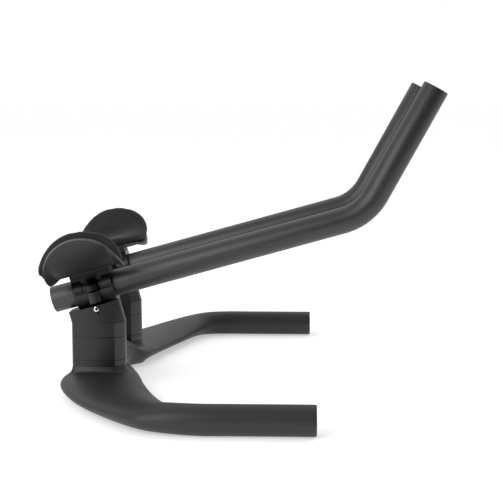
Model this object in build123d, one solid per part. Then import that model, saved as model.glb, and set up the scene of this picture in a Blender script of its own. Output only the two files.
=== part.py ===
from build123d import *

import os
from math import cos, radians, sin

# Time-trial aero handlebar: a moulded base bar with two forward horns, two stacked aero towers,
# two bent extensions in angled clamps, and two padded armrest cups.
# Millimetres. X points forward, Y to the rider's left, Z up. The origin is the centre of the stem clamp.

# Base bar
STEM_CLAMP_DIAMETER = 31.8
STEM_CLAMP_WIDTH = 46.0
HORN_SPACING = 400.0
HORN_DIAMETER = 24.0
HORN_BORE = 20.0
HORN_BORE_DEPTH = 80.0
HORN_REACH = 182.0
HORN_STRAIGHT = 87.0
HORN_EDGE_RADIUS = 0.8
WING_CLEARANCE = 0.4

# Wing sections from the tower out to the horn: share of the span, share of the forward sweep,
# chord and thickness
WING_SECTIONS = [
    (-0.10, 0.00, 56.0, 20.0),
    (0.04, 0.00, 67.5, 18.5),
    (0.172, 0.037, 69.5, 17.0),
    (0.385, 0.155, 66.0, 16.0),
    (0.595, 0.308, 58.5, 16.5),
    (0.885, 0.585, 42.0, 20.5),
    (0.969, 0.765, 29.5, 23.0),
]

# Tower outline and stack
TOWER_SPACING = 110.0
TOWER_REAR = 24.5
TOWER_NOSE = 21.0
TOWER_WIDTH = 29.0
TOWER_TAIL_WIDTH = 19.0
TOWER_CHINE_X = 12.5
TOWER_CHINE_WIDTH = 26.0
TOWER_NOSE_FLAT_X = 19.6
TOWER_NOSE_FLAT_WIDTH = 11.0
TOWER_TAIL_RADIUS = 2.5
TOWER_SEAT_MARGIN = 0.5
NECK_HEIGHT = 22.5
THIN_SPACER = 5.0
TALL_SPACER = 20.0
TOP_SPACER = 12.5
SEAM_CHAMFER = 0.4

# The neck swells from the tower outline into the wing: share of its height, growth of the outline
NECK_SWELL = [(0.0, 1.0), (0.2, 5.0), (0.45, 6.5), (0.68, 2.6), (0.86, 0.5), (1.0, 0.0)]

# Tower bolts and the threaded inserts bonded into the neck
TOWER_BOLT_X = (-14.0, 6.0)
BOLT_DIAMETER = 5.0
BOLT_HEAD_DIAMETER = 8.5
BOLT_HEAD_HEIGHT = 5.0
BOLT_SOCKET_WIDTH = 4.0
BOLT_SOCKET_DEPTH = 2.5
HOLE_CLEARANCE = 0.2
THREAD_CLEARANCE = 0.05
INSERT_DIAMETER = 8.0
INSERT_DEPTH = 13.0
BOLT_TIP_GAP = 1.0
TOWER_BOLT_FLOOR = 4.0

# Extension
TUBE_DIAMETER = 22.2
TUBE_BORE = 19.0
TUBE_RISE = 15.6
TUBE_REAR_OVERHANG = 20.1
TUBE_STRAIGHT = 255.0
TUBE_BEND_RADIUS = 46.0
TUBE_BEND_ANGLE = 45.7
TUBE_UPPER = 101.3
TUBE_EDGE_CHAMFER = 0.4

# Extension clamp
CLAMP_X = -5.0
CLAMP_AXIS_RISE = 27.9
CLAMP_LENGTH = 34.0
CLAMP_WALL = 3.3
CLAMP_BORE_CLEARANCE = 0.05
CLAMP_SPLIT = 1.5
CLAMP_BAND = 8.0
CLAMP_WAIST = 1.8
CLAMP_EAR_LENGTH = 10.0
CLAMP_EAR_CAP = 4.5
CLAMP_EAR_BASE = 10.0
CLAMP_EAR_EDGE = 4.5
CLAMP_BOLT_WALL = 2.0
WEDGE_GAP = 2.0
CAP_TOP_WALL = 4.4
CAP_TOP_WIDTH = 20.0

# Small screw on the outer side of the clamp base
SIDE_SCREW_X = -2.1
SIDE_SCREW_RISE = 12.2
SIDE_SCREW_HEAD = 4.8
SIDE_SCREW_HEAD_HEIGHT = 2.4
SIDE_SCREW_PROUD = 0.6
SIDE_SCREW_SHANK = 3.0
SIDE_SCREW_LENGTH = 6.0
SIDE_SCREW_SOCKET = 2.0

# Armrest cup and pad
CUP_RADIUS = 46.0
CUP_WALL = 2.6
CUP_OFFSET = 13.0
CUP_SEAT_GAP = 1.0
CUP_LENGTH = 65.0
CUP_RIM_HEIGHT = 32.0
CUP_INNER_REACH = 17.0
CUP_HALF_WIDTH = 37.0
CUP_FLARE = 5.0
CUP_FLARE_LENGTH = 7.0
CUP_END_MARGIN = 1.0
CUP_SHIFT = 1.5
CUP_PEDESTAL_WIDTH = 18.0
CUP_PEDESTAL_LENGTH = 32.0
PAD_THICKNESS = 8.0
PAD_OVERHANG = 4.2
PAD_FRONT_OVERHANG = 2.5
PAD_CLEARANCE = 0.3
ARMREST_BOLT_SPREAD = 20.0
ARMREST_BOLT_HEAD = 9.0
ARMREST_BOLT_HEAD_HEIGHT = 2.2
ARMREST_BOLT_FLOOR = 1.6
ARMREST_BOLT_GRIP = 3.4

# Heights and places worked out from the sizes above
FLOOR = -STEM_CLAMP_DIAMETER / 2
NECK_TOP = FLOOR + NECK_HEIGHT
STACK_TOP = NECK_TOP + THIN_SPACER + TALL_SPACER + TOP_SPACER
TOWER_Y = TOWER_SPACING / 2
HORN_Y = HORN_SPACING / 2
HORN_START = HORN_REACH - HORN_STRAIGHT
CLAMP_BORE = TUBE_DIAMETER / 2 + CLAMP_BORE_CLEARANCE
CLAMP_OUTER = CLAMP_BORE + CLAMP_WALL
CAP_TOP = CLAMP_BORE + CAP_TOP_WALL
CLAMP_BOLT_Y = CLAMP_BORE + CLAMP_BOLT_WALL + BOLT_DIAMETER / 2 + HOLE_CLEARANCE
CLAMP_EAR_Y = CLAMP_BOLT_Y + CLAMP_EAR_EDGE
CUP_AXIS = CAP_TOP + CUP_SEAT_GAP + CUP_RADIUS
CUP_REAR = CUP_SHIFT - CUP_LENGTH / 2
CUP_FRONT = CUP_SHIFT + CUP_LENGTH / 2
PEDESTAL_Y = CUP_INNER_REACH - CUP_OFFSET - CUP_PEDESTAL_WIDTH / 2
TUBE_REAR = -CLAMP_LENGTH / 2 - TUBE_REAR_OVERHANG
FAR = 400.0

# Frame of the right-hand clamp: its X runs along the extension, its Z square to it, its Y inwards
RISE = radians(TUBE_RISE)
CLAMP_FRAME = Plane(
    origin=(CLAMP_X, -TOWER_Y, STACK_TOP + CLAMP_AXIS_RISE),
    x_dir=(cos(RISE), 0, sin(RISE)),
    z_dir=(-sin(RISE), 0, cos(RISE)),
)


def along_x(radius, length, y=0, z=0):
    """A round bar along X, centred at x = 0."""
    return Pos(0, y, z) * (Rot(0, 90, 0) * Cylinder(radius, length))


def block(x_range, y_range, z_range):
    """A box between three pairs of limits."""
    size = [high - low for low, high in (x_range, y_range, z_range)]
    middle = [(high + low) / 2 for low, high in (x_range, y_range, z_range)]
    return Pos(*middle) * Box(*size)


def socket_bolt(grip, diameter, head, head_height, socket, socket_depth):
    """A cap screw pointing down: its head seat at z = 0 and its shank below."""
    seat = (Align.CENTER, Align.CENTER, Align.MIN)
    below = (Align.CENTER, Align.CENTER, Align.MAX)
    bolt = Cylinder(head / 2, head_height, align=seat)
    bolt += Cylinder(diameter / 2, grip, align=below)
    hexagon = RegularPolygon(socket / 2, 6, major_radius=False)
    return bolt - extrude(Pos(0, 0, head_height - socket_depth) * hexagon, socket_depth)


def tower_outline(growth=0.0):
    """Plan of a tower: square tail, bowed sides, a chine, and facets to a rounded nose."""
    length = TOWER_REAR + TOWER_NOSE
    middle = (TOWER_NOSE - TOWER_REAR) / 2
    stretch_x = (length + 2 * growth) / length
    stretch_y = (TOWER_WIDTH + 2 * growth) / TOWER_WIDTH

    def corner(x, width):
        return (middle + (x - middle) * stretch_x, width / 2 * stretch_y)

    def mirrored(point):
        return (point[0], -point[1])

    tail = corner(-TOWER_REAR, TOWER_TAIL_WIDTH)
    widest = corner(middle, TOWER_WIDTH)
    chine = corner(TOWER_CHINE_X, TOWER_CHINE_WIDTH)
    shoulder = corner(TOWER_NOSE_FLAT_X, TOWER_NOSE_FLAT_WIDTH)
    nose = corner(TOWER_NOSE, 0)
    outline = Curve() + [
        Line(mirrored(tail), tail),
        ThreePointArc(tail, widest, chine),
        Line(chine, shoulder),
        ThreePointArc(shoulder, nose, mirrored(shoulder)),
        Line(mirrored(shoulder), mirrored(chine)),
        ThreePointArc(mirrored(chine), mirrored(widest), mirrored(tail)),
    ]
    plan = make_face(outline)
    return fillet(plan.vertices().sort_by(Axis.X)[:2], TOWER_TAIL_RADIUS)


def wing_sections():
    """Elliptical sections of the left wing, each square to the way the wing runs there."""
    span = HORN_Y - TOWER_Y
    centres = [Vector(row[1] * HORN_START, TOWER_Y + row[0] * span) for row in WING_SECTIONS]
    stops = [Vector(0, STEM_CLAMP_WIDTH / 2), *centres, Vector(HORN_START, HORN_Y)]
    runs = [after - before for before, after in zip(stops, stops[1:])]
    sections = []
    for centre, before, after, row in zip(centres, runs, runs[1:], WING_SECTIONS):
        chord, thickness = row[2:]
        way = before.normalized() * after.length + after.normalized() * before.length
        height = FLOOR + min(thickness / 2 + WING_CLEARANCE, HORN_DIAMETER / 2)
        plane = Plane((centre.X, centre.Y, height), x_dir=(way.Y, -way.X, 0), z_dir=(way.X, way.Y, 0))
        sections.append(plane * Ellipse(chord / 2, thickness / 2))
    return sections


def make_half_bar():
    """Left half of the base bar: stem clamp round, swelling neck, wing, elbow and horn."""
    clamp_plane = Plane((0, STEM_CLAMP_WIDTH / 2, 0), x_dir=(1, 0, 0), z_dir=(0, 1, 0))
    clamp_end = clamp_plane * Circle(STEM_CLAMP_DIAMETER / 2)
    horn_plane = Plane((HORN_START, HORN_Y, FLOOR + HORN_DIAMETER / 2), x_dir=(0, -1, 0), z_dir=(1, 0, 0))
    horn_end = horn_plane * Circle(HORN_DIAMETER / 2)
    wing = loft([clamp_end, *wing_sections(), horn_end])
    horn = extrude(horn_end, HORN_STRAIGHT)
    horn = fillet(horn.faces().sort_by(Axis.X)[-1].edges(), HORN_EDGE_RADIUS)
    clamp = extrude(clamp_end, -STEM_CLAMP_WIDTH / 2)
    levels = [
        Pos(0, TOWER_Y, FLOOR + share * NECK_HEIGHT) * tower_outline(growth)
        for share, growth in NECK_SWELL
    ]
    half = wing + horn + clamp + loft(levels)
    half -= Pos(0, TOWER_Y, NECK_TOP) * extrude(tower_outline(TOWER_SEAT_MARGIN), FAR)
    bore = Pos(HORN_REACH, HORN_Y, FLOOR + HORN_DIAMETER / 2) * Rot(0, 90, 0)
    half -= bore * Cylinder(HORN_BORE / 2, HORN_BORE_DEPTH, align=(Align.CENTER, Align.CENTER, Align.MAX))
    for x in TOWER_BOLT_X:
        hole = Cylinder(INSERT_DIAMETER / 2, INSERT_DEPTH, align=(Align.CENTER, Align.CENTER, Align.MAX))
        half -= Pos(x, TOWER_Y, NECK_TOP) * hole
    return half


def make_base_bar():
    """The one-piece base bar."""
    half = make_half_bar()
    return half + mirror(half, Plane.XZ)


def make_inserts():
    """Two threaded inserts, flush with the top of the right-hand neck."""
    insert = Cylinder(INSERT_DIAMETER / 2, INSERT_DEPTH)
    insert -= Cylinder(BOLT_DIAMETER / 2 + THREAD_CLEARANCE, INSERT_DEPTH)
    return [Pos(x, -TOWER_Y, NECK_TOP - INSERT_DEPTH / 2) * insert for x in TOWER_BOLT_X]


def make_spacer(bottom, height):
    """One tower spacer: the outline with two bolt holes and fine chamfers at its seams."""
    levels = [(0, -SEAM_CHAMFER), (SEAM_CHAMFER, 0), (height - SEAM_CHAMFER, 0), (height, -SEAM_CHAMFER)]
    spacer = loft([Pos(0, 0, z) * tower_outline(growth) for z, growth in levels], ruled=True)
    for x in TOWER_BOLT_X:
        spacer -= Pos(x, 0, height / 2) * Cylinder(BOLT_DIAMETER / 2 + HOLE_CLEARANCE, height)
    return Pos(0, -TOWER_Y, bottom) * spacer


def make_clamp_base():
    """Angled wedge on top of the tower, with the lower half of the extension clamp."""
    square_up = (-sin(RISE), 0, cos(RISE))
    wedge = extrude(Pos(0, -TOWER_Y, STACK_TOP) * tower_outline(), 2 * CLAMP_AXIS_RISE, dir=square_up)
    wedge = CLAMP_FRAME.to_local_coords(wedge)
    wedge -= block((-FAR, FAR), (-FAR, FAR), (-TUBE_DIAMETER / 2 - WEDGE_GAP, FAR))
    half_length = CLAMP_LENGTH / 2
    lower = block((-half_length, half_length), (-FAR, FAR), (-FAR, -CLAMP_SPLIT / 2))
    cradle = along_x(CLAMP_OUTER, CLAMP_LENGTH) & lower
    ears = block(
        (-CLAMP_EAR_LENGTH / 2, CLAMP_EAR_LENGTH / 2),
        (-CLAMP_EAR_Y, CLAMP_EAR_Y),
        (-CLAMP_EAR_BASE, -CLAMP_SPLIT / 2),
    )
    ears = fillet(ears.edges().filter_by(Axis.Z), CLAMP_EAR_EDGE)
    base = wedge + cradle + ears - along_x(CLAMP_BORE, FAR)
    for side in (-1, 1):
        thread = Cylinder(BOLT_DIAMETER / 2 + THREAD_CLEARANCE, 2 * CLAMP_EAR_BASE)
        base -= Pos(0, side * CLAMP_BOLT_Y, -CLAMP_EAR_BASE) * thread
    base = CLAMP_FRAME.from_local_coords(base)
    up = (Align.CENTER, Align.CENTER, Align.MIN)
    for x in TOWER_BOLT_X:
        base -= Pos(x, -TOWER_Y, STACK_TOP) * Cylinder(BOLT_DIAMETER / 2 + HOLE_CLEARANCE, FAR, align=up)
        head = Cylinder(BOLT_HEAD_DIAMETER / 2 + HOLE_CLEARANCE, FAR, align=up)
        base -= Pos(x, -TOWER_Y, STACK_TOP + TOWER_BOLT_FLOOR) * head
    return base - make_side_screw_place() * make_side_screw_hole()


def make_side_screw_place():
    """Where the small screw sits: on the outer face of the clamp base, pointing inwards."""
    face = -TOWER_Y - TOWER_WIDTH / 2
    return Pos(SIDE_SCREW_X, face, STACK_TOP + SIDE_SCREW_RISE) * Rot(90, 0, 0)


def make_side_screw_hole():
    """Counterbore and thread for the small screw."""
    seat = SIDE_SCREW_PROUD - SIDE_SCREW_HEAD_HEIGHT
    out = (Align.CENTER, Align.CENTER, Align.MIN)
    inwards = (Align.CENTER, Align.CENTER, Align.MAX)
    hole = Pos(0, 0, seat) * Cylinder(SIDE_SCREW_HEAD / 2 + HOLE_CLEARANCE, TOWER_WIDTH, align=out)
    depth = SIDE_SCREW_LENGTH + BOLT_TIP_GAP
    thread = Cylinder(SIDE_SCREW_SHANK / 2 + THREAD_CLEARANCE, depth, align=inwards)
    return hole + Pos(0, 0, seat) * thread


def make_side_screw():
    """The small screw in the outer face of the clamp base."""
    screw = socket_bolt(
        SIDE_SCREW_LENGTH,
        SIDE_SCREW_SHANK,
        SIDE_SCREW_HEAD,
        SIDE_SCREW_HEAD_HEIGHT,
        SIDE_SCREW_SOCKET,
        SIDE_SCREW_HEAD_HEIGHT / 2,
    )
    return make_side_screw_place() * Pos(0, 0, SIDE_SCREW_PROUD - SIDE_SCREW_HEAD_HEIGHT) * screw


def make_clamp_cap():
    """Upper half of the extension clamp: two bands, a waist with ears, and a flat top for the cup."""
    half_length = CLAMP_LENGTH / 2
    upper = block((-FAR, FAR), (-FAR, FAR), (CLAMP_SPLIT / 2, FAR))
    waist_length = CLAMP_LENGTH - 2 * CLAMP_BAND
    cap = along_x(CLAMP_OUTER, CLAMP_LENGTH) - (
        along_x(CLAMP_OUTER, waist_length) - along_x(CLAMP_OUTER - CLAMP_WAIST, waist_length)
    )
    cap += block((-half_length, half_length), (-CAP_TOP_WIDTH / 2, CAP_TOP_WIDTH / 2), (0, CAP_TOP))
    ears = block(
        (-CLAMP_EAR_LENGTH / 2, CLAMP_EAR_LENGTH / 2),
        (-CLAMP_EAR_Y, CLAMP_EAR_Y),
        (0, CLAMP_SPLIT / 2 + CLAMP_EAR_CAP),
    )
    ears = fillet(ears.edges().filter_by(Axis.Z), CLAMP_EAR_EDGE)
    cap = (cap + ears - along_x(CLAMP_BORE, FAR)) & upper
    for side in (-1, 1):
        cap -= Pos(0, side * CLAMP_BOLT_Y, 0) * Cylinder(BOLT_DIAMETER / 2 + HOLE_CLEARANCE, FAR)
        head = Cylinder(
            BOLT_HEAD_DIAMETER / 2 + HOLE_CLEARANCE, FAR, align=(Align.CENTER, Align.CENTER, Align.MIN)
        )
        cap -= Pos(0, side * CLAMP_BOLT_Y, CLAMP_SPLIT / 2 + CLAMP_EAR_CAP) * head
    for x in (-ARMREST_BOLT_SPREAD / 2, ARMREST_BOLT_SPREAD / 2):
        thread = Cylinder(BOLT_DIAMETER / 2 + THREAD_CLEARANCE, 2 * ARMREST_BOLT_GRIP)
        cap -= Pos(x, PEDESTAL_Y, CAP_TOP) * thread
    return CLAMP_FRAME.from_local_coords(cap)


def make_extension():
    """Bent extension tube, open at both ends, through the clamp."""
    bend = TUBE_BEND_ANGLE
    corner = TUBE_REAR + TUBE_STRAIGHT
    first = Line((TUBE_REAR, 0, 0), (corner, 0, 0))
    arc = JernArc(first @ 1, (1, 0), TUBE_BEND_RADIUS, bend)
    last = PolarLine(arc @ 1, TUBE_UPPER, bend)
    path = Rot(90, 0, 0) * (Curve() + [first, arc, last])
    rear = Plane((TUBE_REAR, 0, 0), x_dir=(0, 1, 0), z_dir=(1, 0, 0))
    tube = sweep(rear * (Circle(TUBE_DIAMETER / 2) - Circle(TUBE_BORE / 2)), path=path)
    rims = tube.faces().filter_by(GeomType.PLANE)
    tube = chamfer(rims.edges(), TUBE_EDGE_CHAMFER)
    return CLAMP_FRAME.from_local_coords(tube)


def trough(under, over, rim, rear, front, inner_reach):
    """Part of the armrest between two distances from its axis: an oval plate bent round, with flared ends.

    under and over are the radii of the two faces, rim the height of the outer wall, and rear and front
    the ends along the extension. The faces and the plan run on past both ends, and the half moon ends them.
    """
    bottom = CUP_AXIS - CUP_RADIUS
    length = front - rear
    middle = (front + rear) / 2
    crease = CUP_LENGTH / 2 - CUP_FLARE_LENGTH
    stations = [
        (rear - CUP_END_MARGIN, CUP_FLARE),
        (CUP_SHIFT - crease, 0),
        (CUP_SHIFT + crease, 0),
        (front + CUP_END_MARGIN, CUP_FLARE),
    ]

    def flared(radius):
        rings = []
        for x, flare in stations:
            place = Plane((x, -CUP_OFFSET, CUP_AXIS), x_dir=(0, 1, 0), z_dir=(1, 0, 0))
            rings.append(place * Circle(radius + flare))
        return loft(rings, ruled=True)

    band = flared(under) - flared(over)
    moon = Pos(middle, 0, bottom) * (Rot(90, 0, 0) * Ellipse(length / 2, rim))
    inner_edge = inner_reach - CUP_OFFSET
    plan = Pos(middle, inner_edge - CUP_HALF_WIDTH, 0) * Ellipse(length / 2 + CUP_END_MARGIN, CUP_HALF_WIDTH)
    return band & (extrude(moon, FAR, both=True) & extrude(plan, FAR))


def make_armrest_cup():
    """Half-moon armrest cup with the pedestal that seats it on the clamp cap."""
    cup = trough(CUP_RADIUS, CUP_RADIUS - CUP_WALL, CUP_RIM_HEIGHT, CUP_REAR, CUP_FRONT, CUP_INNER_REACH)
    half_length = CUP_PEDESTAL_LENGTH / 2
    sides = (PEDESTAL_Y - CUP_PEDESTAL_WIDTH / 2, PEDESTAL_Y + CUP_PEDESTAL_WIDTH / 2)
    pedestal = block((-half_length, half_length), sides, (CAP_TOP, CUP_AXIS))
    cup += pedestal - along_x(CUP_RADIUS - CUP_WALL / 2, FAR, -CUP_OFFSET, CUP_AXIS)
    up = (Align.CENTER, Align.CENTER, Align.MIN)
    for x in (-ARMREST_BOLT_SPREAD / 2, ARMREST_BOLT_SPREAD / 2):
        cup -= Pos(x, PEDESTAL_Y, 0) * Cylinder(BOLT_DIAMETER / 2 + HOLE_CLEARANCE, CUP_AXIS, align=up)
        head = Cylinder(ARMREST_BOLT_HEAD / 2 + HOLE_CLEARANCE, CUP_RADIUS, align=up)
        cup -= Pos(x, PEDESTAL_Y, CAP_TOP + ARMREST_BOLT_FLOOR) * head
    return CLAMP_FRAME.from_local_coords(cup)


def make_arm_pad():
    """Foam pad lying in the cup, standing proud of its rim all round."""
    under = CUP_RADIUS - CUP_WALL - PAD_CLEARANCE
    pad = trough(
        under,
        under - PAD_THICKNESS,
        CUP_RIM_HEIGHT + PAD_OVERHANG,
        CUP_REAR - PAD_OVERHANG,
        CUP_FRONT + PAD_FRONT_OVERHANG,
        CUP_INNER_REACH + PAD_OVERHANG,
    )
    return CLAMP_FRAME.from_local_coords(pad)


def make_tower_bolts():
    """Two long bolts that hold the stack, from the clamp base down into the inserts."""
    seat = STACK_TOP + TOWER_BOLT_FLOOR
    grip = seat - (NECK_TOP - INSERT_DEPTH + BOLT_TIP_GAP)
    bolt = socket_bolt(
        grip, BOLT_DIAMETER, BOLT_HEAD_DIAMETER, BOLT_HEAD_HEIGHT, BOLT_SOCKET_WIDTH, BOLT_SOCKET_DEPTH
    )
    return [Pos(x, -TOWER_Y, seat) * bolt for x in TOWER_BOLT_X]


def make_clamp_bolts():
    """Two bolts that pinch the extension, one on each side of it."""
    seat = CLAMP_SPLIT / 2 + CLAMP_EAR_CAP
    grip = seat + CLAMP_EAR_BASE - BOLT_TIP_GAP
    bolt = socket_bolt(
        grip, BOLT_DIAMETER, BOLT_HEAD_DIAMETER, BOLT_HEAD_HEIGHT, BOLT_SOCKET_WIDTH, BOLT_SOCKET_DEPTH
    )
    return [CLAMP_FRAME.from_local_coords(Pos(0, y, seat) * bolt) for y in (-CLAMP_BOLT_Y, CLAMP_BOLT_Y)]


def make_armrest_bolts():
    """Two low-headed bolts under the pad that hold the cup on the clamp cap."""
    bolt = socket_bolt(
        ARMREST_BOLT_FLOOR + ARMREST_BOLT_GRIP - BOLT_TIP_GAP / 2,
        BOLT_DIAMETER,
        ARMREST_BOLT_HEAD,
        ARMREST_BOLT_HEAD_HEIGHT,
        BOLT_SOCKET_WIDTH,
        ARMREST_BOLT_HEAD_HEIGHT / 2,
    )
    seat = CAP_TOP + ARMREST_BOLT_FLOOR
    places = (-ARMREST_BOLT_SPREAD / 2, ARMREST_BOLT_SPREAD / 2)
    return [CLAMP_FRAME.from_local_coords(Pos(x, PEDESTAL_Y, seat) * bolt) for x in places]


def right_hand_pieces():
    """Every piece of the right-hand side, by name."""
    return {
        "tower_inserts": make_inserts(),
        "thin_spacer": make_spacer(NECK_TOP, THIN_SPACER),
        "tall_spacer": make_spacer(NECK_TOP + THIN_SPACER, TALL_SPACER),
        "top_spacer": make_spacer(NECK_TOP + THIN_SPACER + TALL_SPACER, TOP_SPACER),
        "clamp_base": make_clamp_base(),
        "side_screw": make_side_screw(),
        "clamp_cap": make_clamp_cap(),
        "extension": make_extension(),
        "armrest_cup": make_armrest_cup(),
        "arm_pad": make_arm_pad(),
        "tower_bolts": make_tower_bolts(),
        "clamp_bolts": make_clamp_bolts(),
        "armrest_bolts": make_armrest_bolts(),
    }


def save(name, piece):
    """Write one node, whether it is a single piece or a group of like pieces."""
    solids = [solid for part in (piece if isinstance(piece, list) else [piece]) for solid in part.solids()]
    export_step(solids[0] if len(solids) == 1 else Compound(children=solids), f"parts/{name}.step")


os.makedirs("parts", exist_ok=True)
save("base_bar", make_base_bar())
for piece_name, right in right_hand_pieces().items():
    group = right if isinstance(right, list) else [right]
    save(f"right_{piece_name}", group)
    save(f"left_{piece_name}", [mirror(part, Plane.XZ) for part in group])
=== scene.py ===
import logging
from dataclasses import dataclass
from enum import Enum
from math import acos, asin, cos, pi, radians, sin, sqrt

import bmesh
import bpy
from mathutils import Matrix, Vector


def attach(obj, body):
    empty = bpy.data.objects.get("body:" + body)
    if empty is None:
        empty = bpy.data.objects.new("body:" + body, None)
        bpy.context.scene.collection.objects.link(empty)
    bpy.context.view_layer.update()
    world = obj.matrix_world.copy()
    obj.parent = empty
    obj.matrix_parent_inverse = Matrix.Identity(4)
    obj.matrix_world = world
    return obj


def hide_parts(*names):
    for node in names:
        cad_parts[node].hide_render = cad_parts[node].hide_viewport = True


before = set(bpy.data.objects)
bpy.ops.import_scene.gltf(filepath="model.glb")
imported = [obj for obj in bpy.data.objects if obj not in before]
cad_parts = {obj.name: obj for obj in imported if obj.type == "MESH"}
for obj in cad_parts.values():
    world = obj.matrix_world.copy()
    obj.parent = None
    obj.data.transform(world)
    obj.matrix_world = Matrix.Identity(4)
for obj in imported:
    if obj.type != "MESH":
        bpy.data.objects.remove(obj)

LOG = logging.getLogger("handlebar")
MM = 0.001


class Side(Enum):
    """The two mirrored sides of the handlebar, by the sign of their Y."""

    LEFT = 1
    RIGHT = -1

    @property
    def label(self) -> str:
        """The side's word in node and piece names."""
        return self.name.lower()


class Texture(Enum):
    """How a surface was made, which decides the relief that it carries."""

    GRAIN = "fine grain of a moulded, blasted or lacquered skin"
    KNIT = "rows of a knitted cover"
    TURNED = "rings left by a lathe tool"


# Colour and shader nodes


def to_linear(hex_colour: str) -> tuple[float, float, float, float]:
    """Turn an sRGB hex colour into linear light.

    Args:
        hex_colour: six hex digits, such as "2a2a2b".

    Returns:
        Red, green, blue and alpha, linear.
    """
    channels = [int(hex_colour[k : k + 2], 16) / 255 for k in (0, 2, 4)]
    linear = [c / 12.92 if c <= 0.04045 else ((c + 0.055) / 1.055) ** 2.4 for c in channels]
    return (*linear, 1.0)


def add_node(
    tree: bpy.types.NodeTree,
    kind: str,
    settings: dict[str | int, object] | None = None,
    links: dict[str | int, bpy.types.NodeSocket] | None = None,
) -> bpy.types.Node:
    """Add one node with its settings and its incoming links.

    Args:
        tree: the node tree that takes it.
        kind: Blender's name for the node type.
        settings: values of its input sockets, by name or place, or of its properties, by name.
        links: sockets that feed its inputs, by input name or place.

    Returns:
        The new node.
    """
    node = tree.nodes.new(kind)
    for key, value in (settings or {}).items():
        if isinstance(key, int) or key in node.inputs:
            node.inputs[key].default_value = value
        else:
            setattr(node, key, value)
    for key, socket in (links or {}).items():
        tree.links.new(socket, node.inputs[key])
    return node


@dataclass(frozen=True)
class Finish:
    """A surface finish, from what the real material is and how its surface was made."""

    name: str
    tone: str
    shade: str
    roughness: float
    roughness_spread: float
    cloud_mm: float
    relief_mm: float
    relief_depth_mm: float
    texture: Texture = Texture.GRAIN
    metallic: float = 0.0
    ior: float = 1.5
    sheen: float = 0.0
    coat: float = 0.0

    def make(self) -> bpy.types.Material:
        """Build the material.

        Returns:
            The finished material.
        """
        material = bpy.data.materials.new(self.name)
        material.use_nodes = True
        tree = material.node_tree
        tree.nodes.clear()
        place = add_node(tree, "ShaderNodeTexCoord").outputs["Object"]
        clouds = add_node(
            tree,
            "ShaderNodeTexNoise",
            {"Scale": 1 / (self.cloud_mm * MM), "Detail": 4.0, "Roughness": 0.6},
            {"Vector": place},
        ).outputs["Fac"]
        colour = add_node(
            tree,
            "ShaderNodeMix",
            {"data_type": "RGBA", 6: to_linear(self.shade), 7: to_linear(self.tone)},
            {0: clouds},
        )
        rough = add_node(
            tree,
            "ShaderNodeMapRange",
            {
                "From Min": 0.3,
                "From Max": 0.7,
                "To Min": self.roughness - self.roughness_spread,
                "To Max": self.roughness + self.roughness_spread,
            },
            {"Value": clouds},
        ).outputs["Result"]
        bump = add_node(
            tree,
            "ShaderNodeBump",
            {"Strength": 1.0, "Distance": self.relief_depth_mm * MM},
            {"Height": self.relief(tree, place)},
        ).outputs["Normal"]
        shader = add_node(
            tree,
            "ShaderNodeBsdfPrincipled",
            {
                "Metallic": self.metallic,
                "IOR": self.ior,
                "Sheen Weight": self.sheen,
                "Sheen Roughness": 0.5,
                "Coat Weight": self.coat,
                "Coat Roughness": 0.3,
            },
            {"Base Color": colour.outputs[2], "Roughness": rough, "Normal": bump},
        )
        add_node(tree, "ShaderNodeOutputMaterial", {}, {"Surface": shader.outputs["BSDF"]})
        return material

    def relief(self, tree: bpy.types.NodeTree, place: bpy.types.NodeSocket) -> bpy.types.NodeSocket:
        """Add the height pattern of this finish.

        Args:
            tree: the material's nodes.
            place: the coordinates that the pattern reads.

        Returns:
            The socket that carries the height.
        """
        scale = 1 / (self.relief_mm * MM)
        if self.texture is Texture.TURNED:
            rings = {"wave_type": "RINGS", "rings_direction": "SPHERICAL", "Scale": scale / 20, "Distortion": 0.4}
            return add_node(tree, "ShaderNodeTexWave", rings, {"Vector": place}).outputs["Fac"]
        grain = add_node(
            tree, "ShaderNodeTexNoise", {"Scale": scale, "Detail": 2.0, "Roughness": 0.5}, {"Vector": place}
        ).outputs["Fac"]
        if self.texture is Texture.GRAIN:
            return grain
        rows = add_node(
            tree,
            "ShaderNodeTexVoronoi",
            {"feature": "SMOOTH_F1", "Scale": scale, "Smoothness": 0.6, "Randomness": 0.35},
            {"Vector": place},
        ).outputs["Distance"]
        return add_node(tree, "ShaderNodeMath", {"operation": "ADD"}, {0: grain, 1: rows}).outputs[0]


# Moulded carbon under a satin lacquer: dark and slightly warm, with a broad soft highlight
MOULDED_CARBON = Finish("satin_lacquered_carbon", "2b292a", "232122", 0.5, 0.03, 38.0, 0.9, 0.012)
# Glass-filled nylon from a spark-eroded mould: matte, with a fine even grain
MOULDED_NYLON = Finish("moulded_nylon", "191819", "121112", 0.34, 0.03, 22.0, 0.7, 0.012)
# Bead-blasted and black-anodised aluminium, its tone darkened further to paint the shade that the cup casts on the
# clamp cap, with a tighter highlight
ANODISED_CLAMP_PAINTED_SHADE = Finish("black_anodised_clamp_painted_shade", "0d0d0d", "090909", 0.34, 0.03, 16.0, 0.5, 0.006, ior=1.4)
# The same alloy on the wedge under the tube, with a coarser blasting; it keeps the alloy's plain tone, paler than the
# cap, whose tone carries painted shade
ANODISED_WEDGE = Finish("black_anodised_wedge", "191919", "131313", 0.42, 0.03, 20.0, 0.6, 0.01)
# Drawn aluminium tube, blasted and anodised black: a broad highlight broken up by its grain, which is drawn
# coarser than the real one so that it shows
ANODISED_TUBE = Finish("black_blasted_tube", "3e3e3e", "060606", 0.44, 0.06, 1.6, 1.3, 0.1, ior=1.6)
# Pressed composite shell: smooth, with a soft sheen on its face; its bright edge line is a painted highlight, given by
# the finish below
MOULDED_SHELL = Finish("satin_moulded_shell", "252525", "1e1e1e", 0.44, 0.03, 26.0, 0.8, 0.01)
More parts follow.
